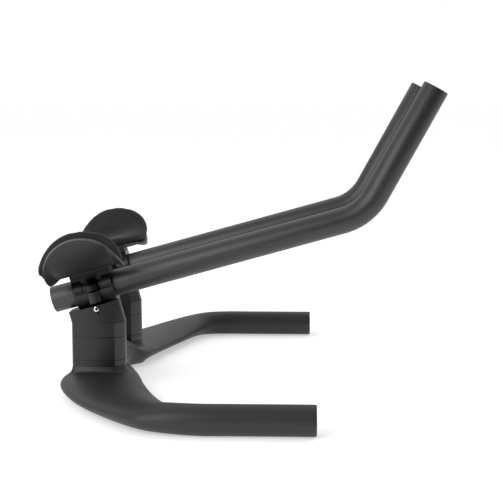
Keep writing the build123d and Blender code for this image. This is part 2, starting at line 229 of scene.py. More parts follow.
# Painted highlight on the shell's rim: the same composite drawn paler and smoother along its edges, to paint the light
# line that the rim catches
RIM_PAINTED_HIGHLIGHT = Finish("shell_rim_painted_highlight", "6c6c6c", "585858", 0.34, 0.04, 9.0, 0.8, 0.01)
# Closed-cell foam under a brushed knit: no highlight, only a faint light fringe at its edges
COVERED_FOAM = Finish(
    "knit_covered_foam", "1f1f1f", "181818", 0.85, 0.05, 14.0, 1.1, 0.09, Texture.KNIT, sheen=0.09
)
# Zinc-plated steel, turned: the one bright metal on the part
PLATED_STEEL = Finish("bright_plated_steel", "e2e2e0", "c6c6c4", 0.24, 0.04, 2.0, 0.6, 0.01, Texture.TURNED, 1.0)
# Black-oxide steel of the socket screws, its tone darkened further to paint the shade that the cup casts on the clamp
# bolts
BLACK_STEEL_PAINTED_SHADE = Finish("black_oxide_steel_painted_shade", "0d0d0d", "080808", 0.5, 0.04, 3.0, 0.6, 0.01, Texture.TURNED, 1.0)


class Finishes:
    """Every material of the handlebar, each made once."""

    def __init__(self) -> None:
        self.made: dict[str, bpy.types.Material] = {}

    def dress(self, piece: bpy.types.Object, *finishes: Finish) -> None:
        """Give a piece its finishes, the first on its faces and a second on its rim.

        Args:
            piece: the object to dress.
            finishes: the finishes that it takes.
        """
        slots = piece.data.materials
        for k, finish in enumerate(finishes):
            if finish.name not in self.made:
                self.made[finish.name] = finish.make()
            if k == len(slots):
                slots.append(None)
            slots[k] = self.made[finish.name]


# Mesh helpers


class Skin:
    """A skin drawn by carrying one closed ring of edges from place to place."""

    def __init__(self, mesh: bmesh.types.BMesh, ring: list[bmesh.types.BMEdge], place: Matrix) -> None:
        self.mesh = mesh
        self.first = list(ring)
        self.ring = list(ring)
        self.place = place

    def carry(self, place: Matrix) -> None:
        """Draw the skin on to another place.

        Args:
            place: the matrix that puts the unit ring there.
        """
        drawn = bmesh.ops.extrude_edge_only(self.mesh, edges=self.ring)["geom"]
        verts = [part for part in drawn if isinstance(part, bmesh.types.BMVert)]
        self.ring = [part for part in drawn if isinstance(part, bmesh.types.BMEdge) and part.is_boundary]
        bmesh.ops.transform(self.mesh, matrix=place @ self.place.inverted(), verts=verts)
        self.place = place

    def cap(self, first: bool = True, last: bool = True) -> None:
        """Close one or both ends with a face.

        Args:
            first: whether to close the first ring.
            last: whether to close the last ring.
        """
        for wanted, ring in ((first, self.first), (last, self.ring)):
            if wanted:
                bmesh.ops.edgeloop_fill(self.mesh, edges=ring)


def round_ring(mesh: bmesh.types.BMesh, place: Matrix, segments: int) -> list[bmesh.types.BMEdge]:
    """Add a ring of unit radius, put in its place.

    Args:
        mesh: the mesh that takes it.
        place: the matrix that sizes and places the ring.
        segments: how many edges it has.

    Returns:
        The ring's edges.
    """
    verts = bmesh.ops.create_circle(mesh, segments=segments, radius=1.0, matrix=place)["verts"]
    return list({edge for vert in verts for edge in vert.link_edges})


def placed(point: Vector, across: Vector, up: Vector, half_width: float, half_height: float) -> Matrix:
    """The matrix that puts a unit ring at a point, square to its path.

    Args:
        point: the ring's centre.
        across: unit vector along its width.
        up: unit vector along its height.
        half_width: half of its width.
        half_height: half of its height.

    Returns:
        The ring's matrix.
    """
    along = across.cross(up)
    columns = (across * half_width, up * half_height, along)
    matrix = Matrix.Identity(4)
    for k, column in enumerate(columns):
        matrix.col[k] = (*column, 0.0)
    matrix.translation = point
    return matrix


def smooth_between(rows: list[tuple[float, ...]], steps: int) -> list[list[float]]:
    """Fill in a table of sizes with a smooth curve through its rows.

    Args:
        rows: each a station along the run, followed by the sizes there.
        steps: how many rows to give between two neighbours.

    Returns:
        The sizes at every step, without the stations.
    """
    out: list[list[float]] = []
    count = len(rows)
    slopes = []
    for k in range(count):
        low, high = rows[max(k - 1, 0)], rows[min(k + 1, count - 1)]
        slopes.append([(b - a) / (high[0] - low[0]) for a, b in zip(low[1:], high[1:])])
    for k in range(count - 1):
        span = rows[k + 1][0] - rows[k][0]
        for step in range(steps + (k == count - 2)):
            t = step / steps
            weights = (2 * t**3 - 3 * t**2 + 1, t**3 - 2 * t**2 + t, 3 * t**2 - 2 * t**3, t**3 - t**2)
            ends = zip(rows[k][1:], slopes[k], rows[k + 1][1:], slopes[k + 1])
            out.append(
                [weights[0] * a + weights[1] * span * m + weights[2] * b + weights[3] * span * n for a, m, b, n in ends]
            )
    return out


def shade_soft(mesh: bmesh.types.BMesh, sharp_degrees: float = 32.0) -> None:
    """Shade faces smoothly, and keep the edges that turn sharply.

    Args:
        mesh: the mesh to shade.
        sharp_degrees: the turn from which an edge stays sharp.
    """
    for face in mesh.faces:
        face.smooth = True
    for edge in mesh.edges:
        edge.smooth = len(edge.link_faces) != 2 or edge.calc_face_angle(0.0) < radians(sharp_degrees)


def add_piece(mesh: bmesh.types.BMesh, name: str, scale: float = MM) -> bpy.types.Object:
    """Turn a mesh drawn in millimetres into an object at the origin.

    Args:
        mesh: the finished mesh, which is freed.
        name: the piece's name.
        scale: metres in one unit of the mesh.

    Returns:
        The new object.
    """
    bmesh.ops.scale(mesh, vec=(scale, scale, scale), verts=mesh.verts)
    data = bpy.data.meshes.new(name)
    mesh.to_mesh(data)
    mesh.free()
    piece = bpy.data.objects.new(name, data)
    bpy.context.scene.collection.objects.link(piece)
    return piece


def bake(piece: bpy.types.Object) -> None:
    """Apply every modifier of a piece to its mesh.

    Args:
        piece: the object to bake.
    """
    graph = bpy.context.evaluated_depsgraph_get()
    made = bpy.data.meshes.new_from_object(piece.evaluated_get(graph))
    piece.modifiers.clear()
    piece.data = made


def mirror_over(mesh: bmesh.types.BMesh) -> None:
    """Add the mirror image of everything across the plane between the two sides.

    Args:
        mesh: the mesh of the left side.
    """
    copied = bmesh.ops.duplicate(mesh, geom=mesh.verts[:] + mesh.edges[:] + mesh.faces[:])["geom"]
    verts = [part for part in copied if isinstance(part, bmesh.types.BMVert)]
    faces = [part for part in copied if isinstance(part, bmesh.types.BMFace)]
    bmesh.ops.scale(mesh, vec=(1, -1, 1), verts=verts)
    bmesh.ops.reverse_faces(mesh, faces=faces)


def merged_copy(node: str) -> bmesh.types.BMesh:
    """A copy of a CAD node's mesh with its corners joined and its flat faces made whole.

    Args:
        node: the CAD node's name.

    Returns:
        The copy, in metres.
    """
    mesh = bmesh.new()
    mesh.from_mesh(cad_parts[node].data)
    bmesh.ops.remove_doubles(mesh, verts=mesh.verts, dist=2e-6)
    bmesh.ops.dissolve_limit(mesh, angle_limit=radians(0.8), verts=mesh.verts, edges=mesh.edges)
    return mesh


def eased_copy(node: str, ease_mm: float, sharp_degrees: float = 32.0) -> bpy.types.Object:
    """Copy a CAD node as one clean mesh with its sharp edges eased.

    Args:
        node: the node's name.
        ease_mm: how wide the eased edges are.
        sharp_degrees: the turn from which an edge is eased.

    Returns:
        The new piece.
    """
    mesh = merged_copy(node)
    shade_soft(mesh, sharp_degrees)
    piece = add_piece(mesh, f"{node}_body", 1.0)
    ease = piece.modifiers.new("ease", "BEVEL")
    ease.width = ease_mm * MM
    ease.segments = 2
    ease.limit_method = "ANGLE"
    ease.angle_limit = radians(sharp_degrees)
    ease.harden_normals = True
    ease.use_clamp_overlap = True
    return piece


# Sub-assemblies


@dataclass
class TowerPlan:
    """Outline of a tower seen from above, in millimetres."""

    rear: float = 24.5
    nose: float = 21.0
    width: float = 29.0
    tail_width: float = 19.0
    chine_x: float = 12.5
    chine_width: float = 26.0
    shoulder_x: float = 19.6
    shoulder_width: float = 11.0
    tail_radius: float = 2.5
    spacing: float = 110.0

    def arc(self, mesh: bmesh.types.BMesh, start: bmesh.types.BMVert, through: Vector, end: Vector, steps: int) -> (
        bmesh.types.BMVert
    ):
        """Draw an arc of edges through a point.

        Args:
            mesh: the mesh that takes it.
            start: the vertex where it starts.
            through: a point on the way.
            end: where it ends.
            steps: how many edges it has.

        Returns:
            The vertex at its end.
        """
        a, b, c = (point.xy for point in (start.co, through, end))
        turn = 2 * (a.x * (b.y - c.y) + b.x * (c.y - a.y) + c.x * (a.y - b.y))
        sums = [point.length_squared for point in (a, b, c)]
        centre = Vector(
            (
                (sums[0] * (b.y - c.y) + sums[1] * (c.y - a.y) + sums[2] * (a.y - b.y)) / turn,
                (sums[0] * (c.x - b.x) + sums[1] * (a.x - c.x) + sums[2] * (b.x - a.x)) / turn,
            )
        )
        angle = (a - centre).angle_signed(c - centre)
        spun = bmesh.ops.spin(
            mesh, geom=[start], cent=(*centre, start.co.z), axis=(0, 0, 1), dvec=(0, 0, 0), angle=-angle, steps=steps
        )
        return next(part for part in spun["geom_last"] if isinstance(part, bmesh.types.BMVert))

    def loop(self, mesh: bmesh.types.BMesh) -> list[bmesh.types.BMEdge]:
        """Draw the outline at its own size round the origin.

        Args:
            mesh: the mesh that takes it.

        Returns:
            The outline's edges.
        """
        middle = (self.nose - self.rear) / 2
        first = mesh.verts.new((-self.rear, self.tail_width / 2, 0))
        chine = Vector((self.chine_x, self.chine_width / 2, 0))
        shoulder = Vector((self.shoulder_x, self.shoulder_width / 2, 0))
        flip = Vector((1, -1, 1))
        at = self.arc(mesh, first, Vector((middle, self.width / 2, 0)), chine, 10)
        at = self.line(mesh, at, shoulder)
        at = self.arc(mesh, at, Vector((self.nose, 0, 0)), shoulder * flip, 6)
        at = self.line(mesh, at, chine * flip)
        at = self.arc(mesh, at, Vector((middle, -self.width / 2, 0)), first.co * flip, 10)
        mesh.edges.new((at, first))
        plan = mesh.faces.new(self.walk(first))
        tails = [vert for vert in plan.verts if vert.co.x < -self.rear + 1e-3]
        bmesh.ops.bevel(
            mesh,
            geom=tails,
            offset=self.tail_radius,
            offset_type="OFFSET",
            segments=4,
            profile=0.5,
            affect="VERTICES",
            material=-1,
        )
        face = mesh.faces[:][-1]
        edges = list(face.edges)
        bmesh.ops.delete(mesh, geom=[face], context="FACES_ONLY")
        return edges

    def line(self, mesh: bmesh.types.BMesh, start: bmesh.types.BMVert, end: Vector) -> bmesh.types.BMVert:
        """Draw a straight edge.

        Args:
            mesh: the mesh that takes it.
            start: the vertex where it starts.
            end: where it ends.

        Returns:
            The vertex at its end.
        """
        vert = bmesh.ops.extrude_vert_indiv(mesh, verts=[start])["verts"][0]
        bmesh.ops.translate(mesh, vec=end - vert.co, verts=[vert])
        return vert

    def walk(self, first: bmesh.types.BMVert) -> list[bmesh.types.BMVert]:
        """The vertices of the outline in order, from the first one round."""
        order, edge = [first], first.link_edges[0]
        while True:
            vert = edge.other_vert(order[-1])
            if vert is first:
                return order
            order.append(vert)
            edge = next(other for other in vert.link_edges if other is not edge)

    def grown(self, growth: float, y: float, z: float) -> Matrix:
        """The matrix that grows the outline on every side and places it.

        Args:
            growth: how far it grows.
            y: its middle, across the bar.
            z: its height.

        Returns:
            The outline's matrix.
        """
        length = self.nose + self.rear
        middle = (self.nose - self.rear) / 2
        stretch = Matrix.Diagonal((1 + 2 * growth / length, 1 + 2 * growth / self.width, 1, 1))
        return Matrix.Translation((middle, y, z)) @ stretch @ Matrix.Translation((-middle, 0, 0))


@dataclass
class BaseBar:
    """The moulded base bar: stem clamp, swelling necks, swept wings and hollow horns, in millimetres."""

    floor: float = -15.9
    clamp_radius: float = 15.9
    clamp_half_width: float = 23.0
    horn_y: float = 200.0
    horn_radius: float = 12.0
    horn_start: float = 95.0
    horn_end: float = 182.0
    bore_radius: float = 10.0
    bore_depth: float = 80.0
    rim: float = 0.8
    clearance: float = 0.4
    neck_height: float = 22.5
    voxel: float = 1.08
    segments: int = 64

    # Forward reach, distance from the middle, chord, thickness and heading of each wing section
    sections: tuple[tuple[float, ...], ...] = (
        (0.0, 40.5, 56.0, 20.0, 0.0),
        (0.0, 60.8, 67.5, 18.5, 5.3),
        (3.5, 79.9, 69.5, 17.0, 14.0),
        (14.7, 110.8, 66.0, 16.0, 22.7),
        (29.3, 141.3, 58.5, 16.5, 28.2),
        (55.6, 183.3, 42.0, 20.5, 47.9),
        (72.7, 195.5, 29.5, 23.0, 66.1),
    )
    # Share of the neck's height, and how far it stands out from the tower there
    swell: tuple[tuple[float, float], ...] = (
        (0.0, 1.0),
        (0.2, 5.0),
        (0.45, 6.5),
        (0.68, 2.6),
        (0.86, 0.5),
        (1.0, 0.0),
        (1.03, -0.6),
        (1.15, -0.8),
    )

    def wing_rows(self) -> list[tuple[float, ...]]:
        """Stations of the wing from the middle out, each with its place, half sizes and heading."""
        rows = [(0.0, 0.0, 0.0, 0.0, self.clamp_radius, self.clamp_radius, 0.0)]
        rows.append((self.clamp_half_width, 0.0, self.clamp_half_width, 0.0, self.clamp_radius, self.clamp_radius, 0.0))
        for x, y, chord, thickness, heading in self.sections:
            z = self.floor + min(thickness / 2 + self.clearance, self.horn_radius)
            rows.append((0.0, x, y, z, chord / 2, thickness / 2, heading))
        horn = (self.horn_y, self.floor + self.horn_radius, self.horn_radius, self.horn_radius, 90.0)
        rows.append((0.0, self.horn_start, *horn))
        rows.append((0.0, self.horn_start + 25, *horn))
        spaced = [rows[0]]
        for row in rows[1:]:
            step = (Vector(row[1:4]) - Vector(spaced[-1][1:4])).length
            spaced.append((spaced[-1][0] + step, *row[1:]))
        return spaced

    def wing_place(self, row: list[float]) -> Matrix:
        """The matrix of one wing section.

        Args:
            row: its place, half chord, half thickness and heading.

        Returns:
            The matrix that puts a unit ring there.
        """
        x, y, z, half_chord, half_thickness, heading = row
        turn = radians(heading)
        return placed(Vector((x, y, z)), Vector((cos(turn), -sin(turn), 0)), Vector((0, 0, 1)), half_chord, half_thickness)

    def horn_place(self, x: float, radius: float) -> Matrix:
        """The matrix of a ring of the horn at one distance forward."""
        centre = Vector((x, self.horn_y, self.floor + self.horn_radius))
        return placed(centre, Vector((0, -1, 0)), Vector((0, 0, 1)), radius, radius)

    def draw_wing(self, mesh: bmesh.types.BMesh) -> None:
        """Draw the left wing from the middle of the clamp to the bottom of the horn's bore."""
        places = [self.wing_place(row) for row in smooth_between(self.wing_rows(), 8)]
        skin = Skin(mesh, round_ring(mesh, places[0], self.segments), places[0])
        for place in places[1:]:
            skin.carry(place)
        rims = (
            (self.horn_end - self.rim, self.horn_radius),
            (self.horn_end - 0.3 * self.rim, self.horn_radius - 0.3 * self.rim),
            (self.horn_end, self.horn_radius - self.rim),
            (self.horn_end, self.bore_radius),
            (self.horn_end - self.bore_depth, self.bore_radius),
        )
        for x, radius in rims:
            skin.carry(self.horn_place(x, radius))
        skin.cap()

    def draw_neck(self, mesh: bmesh.types.BMesh, plan: TowerPlan) -> None:
        """Draw the left neck, from the floor up into the foot of the tower."""
        rows = [(share, share * self.neck_height, growth) for share, growth in self.swell]
        places = [plan.grown(growth, plan.spacing / 2, self.floor + z) for z, growth in smooth_between(rows, 4)]
        skin = Skin(mesh, plan.loop(mesh), Matrix.Identity(4))
        bmesh.ops.transform(mesh, matrix=places[0], verts=list({v for e in skin.first for v in e.verts}))
        skin.place = places[0]
        for place in places[1:]:
            skin.carry(place)
        skin.cap()

    def build(self, plan: TowerPlan) -> bpy.types.Object:
        """Build the one-piece bar.

        Args:
            plan: the outline of the towers that stand on it.

        Returns:
            The bar.
        """
        mesh = bmesh.new()
        self.draw_wing(mesh)
        self.draw_neck(mesh, plan)
        mirror_over(mesh)
        bmesh.ops.recalc_face_normals(mesh, faces=mesh.faces)
        bar = add_piece(mesh, "base_bar_moulding")
        fuse = bar.modifiers.new("fuse", "REMESH")
        fuse.mode = "VOXEL"
        fuse.voxel_size = self.voxel * MM
        fuse.use_smooth_shade = True
        blend = bar.modifiers.new("blend", "SMOOTH")
        blend.factor = 0.5
        blend.iterations = 8
        bake(bar)
        return bar


@dataclass
class Tower:
    """One stack of spacers on a neck, in millimetres."""

    side: Side
    bottom: float = 6.6
    heights: tuple[tuple[str, float], ...] = (("thin_spacer", 5.0), ("tall_spacer", 20.0), ("top_spacer", 12.5))
    seam: float = 0.32

    def build(self, plan: TowerPlan) -> list[tuple[bpy.types.Object, str]]:
        """Build the spacers from the lowest up.

        Args:
            plan: their outline.

        Returns:
            Each spacer with the name of the node that it stands for.
        """
        made = []
        y = self.side.value * plan.spacing / 2
        z = self.bottom
        for name, height in self.heights:
            mesh = bmesh.new()
            levels = ((0.0, -1.5 * self.seam), (0.35 * self.seam, -0.4 * self.seam), (self.seam, 0.0))
            levels += tuple((height - up, growth) for up, growth in reversed(levels))
            skin = Skin(mesh, plan.loop(mesh), Matrix.Identity(4))
            first = plan.grown(levels[0][1], y, z)
            bmesh.ops.transform(mesh, matrix=first, verts=list({v for e in skin.first for v in e.verts}))
            skin.place = first
            for up, growth in levels[1:]:
                skin.carry(plan.grown(growth, y, z + up))
            skin.cap()
            bmesh.ops.recalc_face_normals(mesh, faces=mesh.faces)
            shade_soft(mesh, 24.0)
            node = f"{self.side.label}_{name}"
            made.append((add_piece(mesh, f"{node}_body"), node))
            z += height
        return made


@dataclass
class ClampFrame:
    """The slanted frame of one extension clamp, in millimetres."""

    side: Side
    x: float = -5.0
    spacing: float = 110.0
    z: float = 72.0
    rise: float = 15.6

    def matrix(self) -> Matrix:
        """The matrix from the clamp's own frame: X along the tube, Y to the left, Z square to both."""
        turn = Matrix.Rotation(-radians(self.rise), 4, "Y")
        return Matrix.Translation((self.x, self.side.value * self.spacing / 2, self.z)) @ turn


@dataclass
class Extension:
    """One bent extension tube, in millimetres along its own clamp."""

    at: ClampFrame
    radius: float = 11.1
    bore: float = 9.5
    rear: float = -37.1
    straight: float = 255.0
    bend_radius: float = 46.0
    bend: float = 45.7
    upper: float = 101.3
    rim: float = 0.4
    segments: int = 72
    bend_steps: int = 20

    def station(self, run: float, radius: float) -> Matrix:
        """The matrix of a ring at a distance along the tube from its rear end.

        Args:
            run: the distance along the axis.
            radius: the ring's radius.

        Returns:
            The ring's matrix, in the clamp's frame.
        """
        arc = self.bend_radius * radians(self.bend)
        turn = min(max((run - self.straight) / self.bend_radius, 0.0), radians(self.bend))
        x = self.rear + min(run, self.straight) + self.bend_radius * sin(turn)
        z = self.bend_radius * (1 - cos(turn))
        past = max(run - self.straight - arc, 0.0)
        point = Vector((x + past * cos(turn), 0, z + past * sin(turn)))
        return placed(point, Vector((0, 1, 0)), Vector((-sin(turn), 0, cos(turn))), radius, radius)

    def build(self) -> bpy.types.Object:
        """Build the tube with its bore and its eased rims.

        Returns:
            The tube.
        """
        arc = self.bend_radius * radians(self.bend)
        length = self.straight + arc + self.upper
        bends = [self.straight + arc * k / self.bend_steps for k in range(self.bend_steps + 1)]
        half = 0.3 * self.rim
        outside = [(0.0, self.radius - self.rim), (half, self.radius - half), (self.rim, self.radius)]
        outside += [(run, self.radius) for run in bends]
        outside += [(length - run, radius) for run, radius in reversed(outside[:3])]
        inside = [(length, self.bore + half), (length - half, self.bore)]
        inside += [(run, self.bore) for run in reversed(bends)]
        inside += [(half, self.bore), (0.0, self.bore + half)]
        stations = outside + inside + outside[:1]
        mesh = bmesh.new()
        first = self.station(*stations[0])
        skin = Skin(mesh, round_ring(mesh, first, self.segments), first)
        for run, radius in stations[1:]:
            skin.carry(self.station(run, radius))
        bmesh.ops.remove_doubles(mesh, verts=mesh.verts, dist=1e-4)
        bmesh.ops.transform(mesh, matrix=self.at.matrix(), verts=mesh.verts)
        bmesh.ops.recalc_face_normals(mesh, faces=mesh.faces)
        shade_soft(mesh)
        return add_piece(mesh, f"{self.at.side.label}_extension_tube")


@dataclass
class SocketScrew:
    """A screw with a hexagon socket, drawn pointing down from its head seat, in millimetres."""

    head_radius: float
    head_height: float
    shank_radius: float
    length: float
    socket_width: float
    socket_depth: float
    edge: float = 0.4
    segments: int = 40

    def draw(self, mesh: bmesh.types.BMesh, place: Matrix) -> None:
        """Draw the screw.

        Args:
            mesh: the mesh that takes it.
            place: the matrix from the screw's own frame.
        """
        own = bmesh.new()
        top = self.head_height
        rings = (
            (-self.length, self.shank_radius - self.edge),
            (-self.length + self.edge, self.shank_radius),
            (0.0, self.shank_radius),
            (0.0, self.head_radius - 0.3 * self.edge),
            (0.3 * self.edge, self.head_radius),
            (top - self.edge, self.head_radius),
            (top - 0.3 * self.edge, self.head_radius - 0.3 * self.edge),
            (top, self.head_radius - self.edge),
        )
        places = [Matrix.Translation((0, 0, z)) @ Matrix.Diagonal((r, r, 1, 1)) for z, r in rings]
        skin = Skin(own, round_ring(own, places[0], self.segments), places[0])
        for station in places[1:]:
            skin.carry(station)
        skin.cap(last=False)
        corner = self.socket_width / (2 * cos(pi / 6))
        mouth = Matrix.Translation((0, 0, top)) @ Matrix.Diagonal((corner, corner, 1, 1))
        socket = Skin(own, round_ring(own, mouth, 6), mouth)
        bmesh.ops.bridge_loops(own, edges=skin.ring + socket.first)
        socket.carry(Matrix.Translation((0, 0, top - self.socket_depth)) @ Matrix.Diagonal((corner, corner, 1, 1)))
        socket.cap(first=False)
        bmesh.ops.recalc_face_normals(own, faces=own.faces)
        bmesh.ops.transform(own, matrix=place, verts=own.verts)
        data = bpy.data.meshes.new("screw")
        own.to_mesh(data)
        own.free()
        mesh.from_mesh(data)
        bpy.data.meshes.remove(data)


@dataclass
class ClampScrews:
    """The screws of one clamp, in millimetres."""

    at: ClampFrame
    pinch_y: float = 15.85
    pinch_seat: float = 5.25
    armrest_x: float = 10.0
    armrest_y: float = 5.0
    armrest_seat: float = 17.15
    side_x: float = -2.1
    side_z: float = 56.3
    side_face: float = 14.5
    side_proud: float = 0.6

    def group(self, name: str, screw: SocketScrew, places: list[Matrix]) -> bpy.types.Object:
        """Draw like screws as one piece.

        Args:
            name: the node that they stand for.
            screw: their form.
            places: where each one goes.

        Returns:
            The piece.
        """
        mesh = bmesh.new()
        for place in places:
            screw.draw(mesh, place)
        bmesh.ops.recalc_face_normals(mesh, faces=mesh.faces)
        shade_soft(mesh)
        return add_piece(mesh, f"{name}_set")

    def build(self) -> list[tuple[bpy.types.Object, str, Finish]]:
        """Build every screw that shows.

        Returns:
            Each piece with its node and its finish.
        """
        label, local = self.at.side.label, self.at.matrix()
        pinch = SocketScrew(4.25, 5.0, 2.5, 14.25, 4.0, 2.5)
        armrest = SocketScrew(4.5, 2.2, 2.5, 4.5, 4.0, 1.1, 0.3)
        small = SocketScrew(2.4, 2.4, 1.5, 6.0, 2.0, 1.2, 0.5)
        pinch_at = [local @ Matrix.Translation((0, y, self.pinch_seat)) for y in (-self.pinch_y, self.pinch_y)]
        sign = self.at.side.value
        armrest_at = [
            local @ Matrix.Translation((x, sign * self.armrest_y, self.armrest_seat))
            for x in (-self.armrest_x, self.armrest_x)
        ]
        face = sign * (self.at.spacing / 2 + self.side_face + self.side_proud - small.head_height)
        outwards = Matrix.Rotation(-sign * pi / 2, 4, "X")
        small_at = [Matrix.Translation((self.side_x, face, self.side_z)) @ outwards]
        # The black steel's tone carries painted shade from the cup over the clamp bolts
        return [
            (self.group(f"{label}_clamp_bolts", pinch, pinch_at), f"{label}_clamp_bolts", BLACK_STEEL_PAINTED_SHADE),
            (self.group(f"{label}_armrest_bolts", armrest, armrest_at), f"{label}_armrest_bolts", BLACK_STEEL_PAINTED_SHADE),
            (self.group(f"{label}_side_screw", small, small_at), f"{label}_side_screw", PLATED_STEEL),
        ]


@dataclass
class Trough:
    """The bent oval plate that cup and pad are made from, in millimetres along its own clamp."""

    at: ClampFrame
    radius: float
    wall: float
    rim: float
    rear: float
    front: float
    inner_reach: float
    edge_share: float = 1.0
    crown_run: float = 12.0
    chamfer: float = 0.0
    axis_offset: float = 13.0
    axis_height: float = 62.55
    bottom: float = 16.55
    half_width: float = 37.0
    flare: float = 5.0
    creases: tuple[float, float] = (-24.0, 27.0)
    margin: float = 1.0
    end_steps: int = 10
    middle_steps: int = 44
    rows: int = 40

    def stations(self) -> list[float]:
        """Places along the clamp, closer together towards both ends, with one on each crease."""
        first, last = self.creases
        shares = [k / self.end_steps for k in range(self.end_steps)]
        rear = [self.rear + (first - self.rear) * share**2 for share in shares]
        front = [self.front - (self.front - last) * share**2 for share in reversed(shares)]
        middle = [first + (last - first) * k / self.middle_steps for k in range(self.middle_steps + 1)]
        return rear + middle + front

    def swell(self, s: float) -> float:
        """How far the plate flares out at a place along the clamp."""
        first, last = self.creases
        if s < first:
            return self.flare * (first - s) / (first - self.rear + self.margin)
        return self.flare * max(s - last, 0.0) / (self.front + self.margin - last)

    def limits(self, s: float) -> tuple[float, float]:
        """The angles of the inner lip and of the rim round the trough's axis.

        Args:
            s: the place along the clamp.

        Returns:
            Both angles, from straight down and positive outwards.
        """
        half = (self.front - self.rear) / 2
        off = abs(s - (self.front + self.rear) / 2)
        radius = self.radius + self.swell(s)
        lip = self.half_width * (1 - sqrt(1 - (off / (half + self.margin)) ** 2)) - self.inner_reach
        top = self.bottom + self.rim * sqrt(max(1 - (off / half) ** 2, 0.0))
        return asin(lip / radius), acos((self.axis_height - top) / radius)

    def depth(self, s: float, share: float) -> float:
        """The plate's thickness at a point, which may fall away towards its edges."""
        low, high = self.limits(s)
        across = min(share, 1 - share) * (high - low) * self.radius
        inset = min(across, s - self.rear, self.front - s)
        full = sqrt(min(max(inset, 0.0) / self.crown_run, 1.0))
        return self.wall * (self.edge_share + (1 - self.edge_share) * full)

    def point(self, s: float, share: float, inner: bool) -> Vector:
        """A point on one of the two faces.

        Args:
            s: the place along the clamp.
            share: how far it lies from the inner lip to the rim.
            inner: whether it is on the face that the arm rests on.

        Returns:
            The point, in the clamp's frame.
        """
        low, high = self.limits(s)
        inset = 0.0 if inner else self.chamfer / self.radius
        angle = low + inset + (high - low - 2 * inset) * share
        radius = self.radius + self.swell(s) - (self.depth(s, share) if inner else 0.0)
        out = self.axis_offset + radius * sin(angle)
        return Vector((s, self.at.side.value * out, self.axis_height - radius * cos(angle)))

    def draw(self) -> bmesh.types.BMesh:
        """Draw the closed plate in the frame of the whole part.

        Returns:
            The plate's mesh.
        """
        mesh = bmesh.new()
        stations = self.stations()
        columns = len(stations) - 1
        for inner in (False, True):
            grid = bmesh.ops.create_grid(mesh, x_segments=columns, y_segments=self.rows, size=0.5)
            for vert in grid["verts"]:
                vert.co = self.point(stations[round((vert.co.x + 0.5) * columns)], vert.co.y + 0.5, inner)
        bmesh.ops.bridge_loops(mesh, edges=[edge for edge in mesh.edges if edge.is_boundary])
        bmesh.ops.transform(mesh, matrix=self.at.matrix(), verts=mesh.verts)
        bmesh.ops.recalc_face_normals(mesh, faces=mesh.faces)
        return mesh


@dataclass
class FoamPlate(Trough):
    """The foam of one pad: an oval cut from the same trough, with its ends part of the way up the wall."""

    tip_degrees: float = 42.0
    rear_taper: float = 0.9
    front_taper: float = 0.5

    def limits(self, s: float) -> tuple[float, float]:
        """The angles of the foam's two long edges round the trough's axis.

        Args:
            s: the place along the clamp.

        Returns:
            Both angles, from straight down and positive outwards.
        """
        off = (s - (self.front + self.rear) / 2) / ((self.front - self.rear) / 2)
        room = max(1 - off**2, 0.0)
        tip = radians(self.tip_degrees)
        lip = asin(-self.inner_reach / self.radius)
        rim = acos((self.axis_height - self.bottom - self.rim) / self.radius)
        taper = self.rear_taper if off < 0 else self.front_taper
        return tip + (lip - tip) * sqrt(room), tip + (rim - tip) * room**taper


